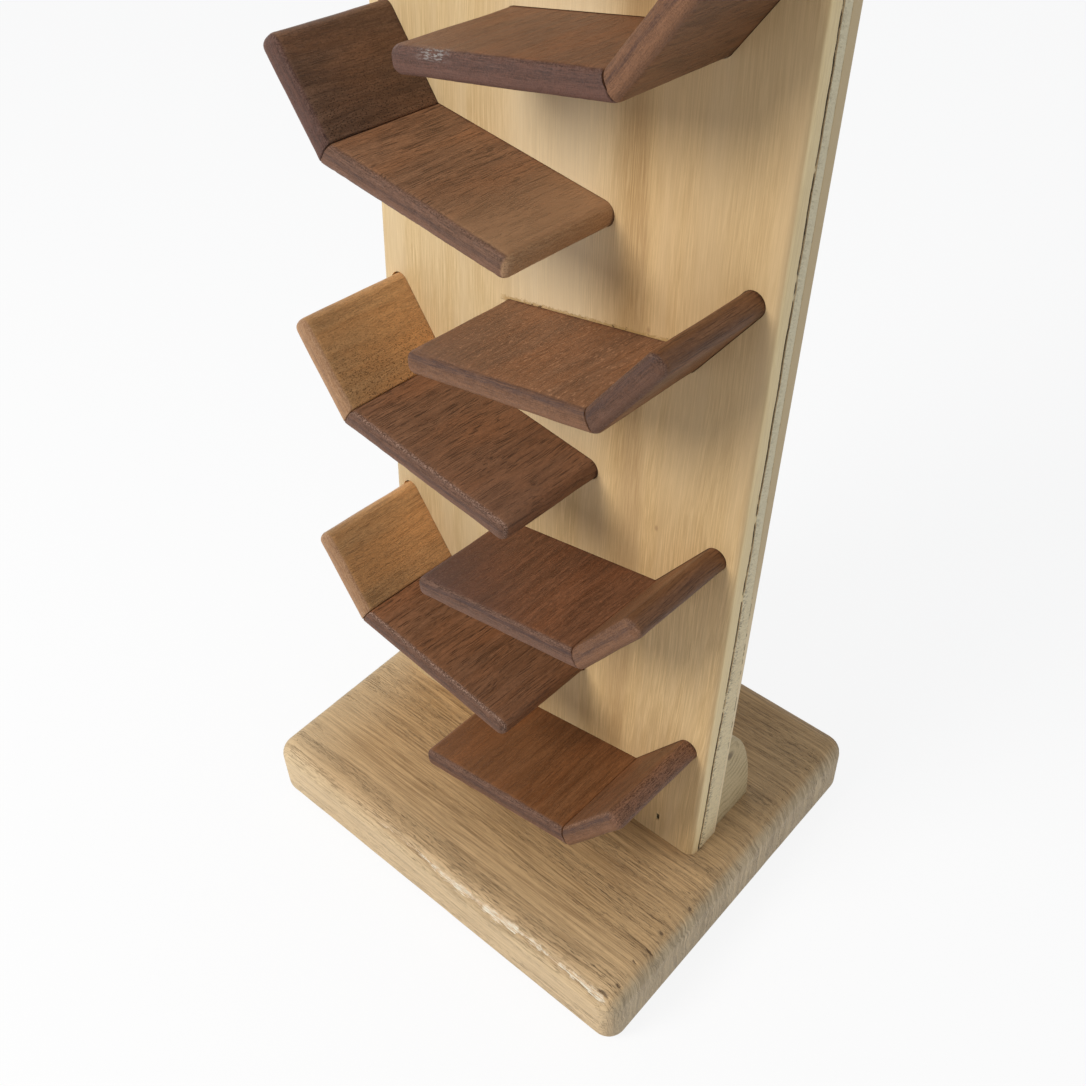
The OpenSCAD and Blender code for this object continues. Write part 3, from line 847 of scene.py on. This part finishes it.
def slat(joint, way, other, length, seed):
    """One strip of a tray as a bmesh, and the matrix of its own frame in the world."""
    half = slat_thick / 2
    mesh = bmesh.new()
    bmesh.ops.create_cube(mesh, size=1)
    sizes = (length + half, slat_reach + board_thick, slat_thick)
    middle = ((length - half) / 2, (board_thick - slat_reach) / 2, 0)
    bmesh.ops.scale(mesh, vec=sizes, verts=mesh.verts)
    bmesh.ops.translate(mesh, vec=middle, verts=mesh.verts)
    outer = 1 if way.cross(other).y > 0 else -1
    joint_end = [
        e for e in mesh.edges
        if along(e, 1) and all(v.co.x < 0 < outer * v.co.z for v in e.verts)
    ]
    bevel(mesh, joint_end, half, 8)
    back = board_thick - 0.01 * mm
    rounded = [
        e for e in square_edges(mesh)
        if any(v.co.y < back for v in e.verts)
        and any(v.co.x > 0 or v.co.y < back - slat_reach for v in e.verts)
    ]
    bevel(mesh, rounded, slat_round, 7)
    back_edges = [e for e in square_edges(mesh) if all(v.co.y > back for v in e.verts)]
    bevel(mesh, back_edges, slat_back_ease, 2)
    # The mitre: only this strip's side of the plane between the two strips stays
    turn = way.angle(other) * (1 if way.cross(other).y < 0 else -1)
    other_way = Matrix.Rotation(-turn, 3, "Y") @ Vector((1, 0, 0))
    keep = (Vector((1, 0, 0)) - other_way).normalized()
    cut = cut_mesh(mesh, keep * mitre_gap, keep)
    bmesh.ops.contextual_create(mesh, geom=cut)
    bevel(mesh, cut, mitre_ease, 1)
    for axis, low, high in ((0, 0, length), (1, -slat_reach, board_thick)):
        way_on = Vector([1 if n == axis else 0 for n in range(3)])
        for number in range(1, int((high - low) / warp_steps[axis])):
            place = way_on * (low + number * warp_steps[axis])
            cut_mesh(mesh, place, way_on, near=0.02 * mm, drop=False)
    bmesh.ops.recalc_face_normals(mesh, faces=mesh.faces)
    mesh.normal_update()
    sink = {}
    for vert in mesh.verts:
        outside = held((-1 * mm - vert.co.y) / (3 * mm))
        wave = noise.noise(vert.co / (11 * mm) + Vector((seed, 0, 0)))
        chips = noise.fractal(vert.co / (2.6 * mm) + Vector((0, seed, 0)), 0.9, 2.0, 3)
        on_arris = 1 - abs(2 * abs(vert.normal.y) - 1) if vert.co.y < -slat_reach + 3 * mm else 0
        depth = warp_depth * outside * min(0, wave - 0.2) + chip_depth * on_arris * min(0, chips)
        sink[vert] = vert.normal * depth
    for vert, move in sink.items():
        vert.co += move
    own = Matrix.Translation(joint) @ Matrix.Rotation(-math.atan2(way.z, way.x), 4, "Y")
    bmesh.ops.transform(mesh, matrix=leaning @ own, verts=mesh.verts)
    return mesh, leaning @ own


def hardwood(
    name, place, seed, inner, tones, pore_share=0.4, dots=0.0, flecks=0.0, wear=0.4, worn=None,
    edge=dark_edge, glint_share=0.25, line=(0.5, 0.8, 0.5), rough_end=None, scuff=None,
    pale_end=None, depth_tone=None,
):
    """Dense fine-pored hardwood, with its grain running back through the board."""
    scuff_grey = (0.40, 0.385, 0.36)
    pale, dark = tones
    edge_pale = edge[1]
    wood = Finish(name, 0.5)
    wood.shader.inputs["Specular IOR Level"].default_value = 0.25
    own = wood.space(place)
    x, y, z = (wood.part(own, axis) for axis in "XYZ")
    space = wood.vector("ADD", own, (seed * 37.0, seed * 11.0, seed * 5.0))
    push = wood.vector("SUBTRACT", wood.noise(space, (16, 45, 16), output="Color"), (0.5, 0.5, 0.5))
    lines = wood.vector("ADD", space, wood.vector("MULTIPLY", push, (4, 0, 4)))
    streaks = wood.noise(lines, (1.5, 26, 1.5), detail=5, roughness=0.7)
    broad = wood.noise(lines, (9, 40, 9))
    wood.colour = wood.blend(wood.slope(streaks, 0.3, 0.7), dark, pale)
    warm = tuple(p * t for p, t in zip(pale, (1.15, 0.95, 0.75)))
    wood.tint(wood.slope(broad, 0.4, 0.7, 0, 0.55), warm)
    grain = wood.noise(space, (0.36, 1.3, 0.36), detail=4, roughness=0.8)
    wood.tint(wood.slope(grain, 0.4, 0.62, 0, 0.35), shade(dark, 0.6))
    wood.tint(wood.slope(grain, 0.3, 0.45, 0.22, 0), shade(pale, 1.3))
    pores = wood.slope(wood.noise(lines, (0.2, 13, 0.2), detail=1, roughness=0.4), 0.545, 0.63)
    pores = wood.times(pores, wood.slope(wood.noise(space, (1.4, 5, 1.4)), 0.36, 0.52, 0.25, 1))
    deep = shade(dark, 0.32)
    wood.tint(wood.times(pores, pore_share), deep)
    if dots:
        spots = wood.slope(wood.noise(space, (0.3, 0.5, 0.3), detail=1), 0.57, 0.64)
        near_joint = wood.slope(x, 4, 20, 1.0, 0.4)
        wood.tint(wood.times(spots, near_joint, dots), deep)
    if flecks:
        light = wood.slope(wood.noise(space, (0.5, 1.3, 0.5)), 0.58, 0.7)
        wood.tint(wood.times(light, flecks), shade(pale, 1.9))
    # Handling has greyed the wood towards the free front corner
    corner = wood.slope(wood.minus(x, y), 38, 78, 0, wear)
    worn = worn or tuple(0.5 * (p + d) * t for p, d, t in zip(pale, dark, (1.0, 1.08, 1.25)))
    specks = wood.noise(space, (0.4, 0.5, 0.4), roughness=0.7)
    specks = wood.slope(specks, 0.5, 0.62, 0, 0.6)
    wood.tint(corner, wood.blend(specks, worn, shade(worn, 1.9)))
    if pale_end:
        wood.tint(wood.slope(x, 26, 48, 0, 0.6), pale_end)
    if depth_tone:
        front, back = (wood.vector("MULTIPLY", wood.colour, (tone,) * 3) for tone in depth_tone)
        wood.colour = wood.blend(wood.slope(y, -29, -4), front, back)
    # The cutter has left dark lines along the front edge; the pale specks beside them are painted
    # glints off rubbed fibres
    facing = wood.dot(wood.normal(), place.to_3x3() @ Vector((0, -1, 0)))
    scratches = wood.noise(space, (4.5, 0.3, 0.2), detail=4, roughness=0.75)
    speckle = wood.noise(space, (0.36, 0.4, 0.3), detail=3, roughness=0.75)
    both = wood.plus(wood.times(scratches, 0.6), wood.times(speckle, 0.4))
    end_colour = wood.blend(wood.slope(both, 0.38, 0.6), *edge)
    sway = wood.times(wood.minus(wood.noise(space, (14, 90, 90)), 0.5), 1.4)
    upwards = wood.times(z, inner)
    low_half = wood.slope(upwards, -1.6, 0.6, 0.45, 0)
    end_colour = wood.blend(low_half, end_colour, shade(edge_pale, 1.35))
    line_up, line_wide, line_share = line
    from_line = wood.absolute(wood.minus(wood.plus(upwards, sway), line_up))
    groove = wood.slope(from_line, 0.1 * line_wide, line_wide, 1, 0)
    groove = wood.times(groove, wood.slope(scratches, 0.4, 0.58, line_share, 0.5 * line_share))
    end_colour = wood.blend(groove, end_colour, plum)
    # Painted glints: pale specks on the rounded front arris
    painted_glints = wood.times(wood.slope(facing, 0.1, 0.35), wood.slope(facing, 0.55, 0.8, 1, 0))
    painted_glints = wood.times(painted_glints, wood.slope(speckle, 0.48, 0.6, 0, glint_share))
    glint_pale = tuple(1.2 * c + a for c, a in zip(edge_pale, (0.18, 0.14, 0.11)))
    end_colour = wood.blend(painted_glints, end_colour, glint_pale)
    wood.tint(wood.slope(facing, 0.22, 0.5, 0, 0.92), end_colour)
    if scuff:
        near = wood.absolute(wood.minus(x, scuff))
        near = wood.times(wood.slope(near, 1.5, 5, 1, 0), wood.slope(upwards, 0.4, 1.6))
        near = wood.times(near, wood.slope(y, -31.4, -29.6, 1, 0))
        strokes = wood.noise(space, (1.2, 0.5, 0.3), detail=4, roughness=0.7)
        near = wood.times(near, wood.slope(strokes, 0.48, 0.6, 0, 0.6))
        wood.tint(near, scuff_grey)
    if rough_end:
        sawn = wood.dot(wood.normal(), place.to_3x3() @ Vector((1, 0, 0)))
        sawn = wood.slope(sawn, 0.3, 0.6, 0, 0.85)
        torn_fibres = wood.noise(space, (0.3, 2.6, 0.3), detail=4, roughness=0.7)
        fibres = wood.times(wood.plus(torn_fibres, speckle), 0.5)
        wood.tint(sawn, wood.blend(wood.slope(fibres, 0.4, 0.58), *rough_end))
    roughness = wood.slope(streaks, 0.3, 0.7, 0.44, 0.6)
    height = wood.minus(wood.times(grain, 0.8), pores)
    height = wood.plus(height, wood.times(both, wood.slope(facing, 0.15, 0.6, 0, 3.0)))
    return wood.show(roughness, height, 0.06)


dark_tones = ((0.28, 0.134, 0.067), (0.16, 0.07, 0.032))
warm_tones = ((0.26, 0.112, 0.043), (0.155, 0.06, 0.021))
red_tones = ((0.255, 0.112, 0.055), (0.13, 0.053, 0.025))
grey_tones = ((0.28, 0.14, 0.074), (0.165, 0.077, 0.041))
light_tones = ((0.325, 0.17, 0.09), (0.19, 0.091, 0.047))
stop_tones = ((0.235, 0.11, 0.05), (0.135, 0.058, 0.024))
cold_tones = ((0.235, 0.135, 0.085), (0.12, 0.064, 0.041))
pale_tones = ((0.61, 0.355, 0.16), (0.50, 0.275, 0.118))
pale_edge = ((0.27, 0.135, 0.065), (0.43, 0.25, 0.135))
plum_edge = ((0.045, 0.021, 0.015), (0.125, 0.058, 0.042))
warm_edge = ((0.085, 0.037, 0.019), (0.215, 0.103, 0.052))
brown_edge = ((0.04, 0.018, 0.011), (0.125, 0.06, 0.036))
ramp_looks = {
    1: dict(tones=warm_tones, pore_share=0.25, wear=0.4, line=(0.9, 0.9, 0.7)),
    2: dict(tones=dark_tones, pore_share=0.75, wear=0.2, glint_share=1.0),
    3: dict(tones=red_tones, pore_share=0.35, flecks=0.2, wear=0.85, worn=(0.10, 0.052, 0.038),
        line=(1.6, 0.6, 0.9)),
    4: dict(tones=grey_tones, pore_share=0.75, wear=0.3, glint_share=0.9),
    5: dict(tones=light_tones, pore_share=0.3, flecks=0.4, wear=0.4, worn=(0.13, 0.066, 0.04),
        edge=warm_edge, line=(1.9, 1.1, 0.8), glint_share=0.0),
    6: dict(tones=light_tones, pore_share=0.7, wear=0.1, pale_end=(0.46, 0.265, 0.135),
        rough_end=((0.36, 0.2, 0.1), (0.52, 0.31, 0.165))),
    7: dict(tones=grey_tones, pore_share=0.3, wear=0.5, edge=plum_edge,
        line=(1.0, 1.2, 0.3), scuff=40),
}
stop_looks = {
    1: dict(tones=stop_tones, edge=warm_edge, glint_share=0.5, line=(1.6, 1.1, 0.9),
        rough_end=((0.065, 0.03, 0.017), (0.28, 0.135, 0.075))),
    3: dict(tones=stop_tones, pore_share=0.5, wear=0.2, edge=warm_edge),
    5: dict(tones=stop_tones, pore_share=0.5, wear=0.2, edge=brown_edge, line=(1.2, 1.0, 0.5)),
    7: dict(tones=stop_tones, pore_share=0.5, wear=0.2, edge=warm_edge, glint_share=0.0),
    2: dict(tones=pale_tones, pore_share=0.35, dots=0.4, wear=0.0, edge=pale_edge,
        line=(0.5, 0.8, 0.15), depth_tone=(0.86, 1.2)),
    4: dict(tones=pale_tones, pore_share=0.15, dots=0.75, wear=0.0, edge=pale_edge,
        line=(0.5, 0.8, 0.15), depth_tone=(0.94, 1.2)),
    6: dict(tones=cold_tones, pore_share=0.3, dots=0.8, wear=0.1,
        edge=plum_edge, line=(0.5, 0.8, 0.2)),
}
usual_look = dict(tones=dark_tones)
usual_stop_look = dict(tones=stop_tones, pore_share=0.5, wear=0.2)
for number in range(1, tray_count + 1):
    joint, ramp_way, stop_way = tray_lines(number)
    inner = 1 if number % 2 else -1
    ramp, place = slat(joint, ramp_way, stop_way, ramp_long, 3.7 * number)
    look = ramp_looks.get(number, usual_look)
    wood = hardwood(f"dark_hardwood_ramp_{number}", place, number, -inner, **look)
    finish_piece(f"hardwood_ramp_{number}", ramp, wood, "dark_hardwood", f"ramp_{number}")
    stop, place = slat(joint, stop_way, ramp_way, stop_long, 3.7 * number + 1.3)
    tone = "pale_hardwood" if number in (2, 4) else "dark_hardwood"
    look = stop_looks.get(number, usual_stop_look)
    wood = hardwood(f"{tone}_stop_{number}", place, 20 + number, inner, **look)
    finish_piece(f"hardwood_stop_{number}", stop, wood, tone, f"stop_{number}")

# Floor and light
# A plain white table, a broad soft lamp to the left above the front, and the
# pale light of a room from all round.
floor_size, floor_low = 6.0, -0.02 * mm
table_white, table_glow = (0.93, 0.93, 0.93, 1), 0.88
room_colour, room_light = (0.95, 1.0, 1.08, 1), 0.43
lamp_size, lamp_power, lamp_colour = 0.46, 7.2, (1.0, 0.965, 0.92)
lamp_target = Vector((0, 0, 120)) * mm
lamp_way = Vector((-0.34, -1.0, 0.84)).normalized()

ground = bmesh.new()
bmesh.ops.create_grid(ground, x_segments=1, y_segments=1, size=floor_size)
bmesh.ops.translate(ground, vec=(0, 0, floor_low), verts=ground.verts)
floor_data = bpy.data.meshes.new("floor")
ground.to_mesh(floor_data)
ground.free()
floor = bpy.data.objects.new("floor", floor_data)
scene.collection.objects.link(floor)


def seen_rays(nodes):
    """1 for a ray from the camera, or one mirrored or let through on its way, else 0."""
    kinds = nodes.node("ShaderNodeLightPath", {}).outputs
    indirect = nodes.calc("MAXIMUM", kinds["Is Glossy Ray"], kinds["Is Transmission Ray"])
    return nodes.calc("MAXIMUM", kinds["Is Camera Ray"], indirect)


white = Finish("white_table", 0.9)
white.shader.inputs["Base Color"].default_value = table_white
white.shader.inputs["Specular IOR Level"].default_value = 0.0
glow = white.node("ShaderNodeEmission", {"Color": (1, 1, 1, 1), "Strength": 1.0})
glow_share = white.times(seen_rays(white), table_glow)
shaded = white.node("ShaderNodeMixShader", {
    0: glow_share, 1: white.shader.outputs["BSDF"], 2: glow.outputs["Emission"],
})
white.tree.links.new(shaded.outputs[0], white.tree.nodes["Material Output"].inputs["Surface"])
floor_data.materials.append(white.material)

world = bpy.data.worlds.new("room")
scene.world = world
world.use_nodes = True
room = Nodes(world.node_tree)
background = room.tree.nodes["Background"]
background.inputs["Color"].default_value = room_colour
background.inputs["Strength"].default_value = room_light
backdrop = room.node("ShaderNodeBackground", {"Color": (1, 1, 1, 1)})
chooser = room.node("ShaderNodeMixShader", {
    0: seen_rays(room), 1: background.outputs[0], 2: backdrop.outputs[0],
})
room.tree.links.new(chooser.outputs[0], room.tree.nodes["World Output"].inputs["Surface"])

lamp_data = bpy.data.lights.new("key_lamp", "AREA")
lamp_data.shape = "DISK"
lamp_data.size = lamp_size
lamp_data.energy = lamp_power
lamp_data.color = lamp_colour
lamp = bpy.data.objects.new("key_lamp", lamp_data)
lamp.matrix_world = (
    Matrix.Translation(lamp_target + lamp_way) @ lamp_way.to_track_quat("Z", "Y").to_matrix().to_4x4()
)
scene.collection.objects.link(lamp)

scene.view_settings.view_transform = "Standard"
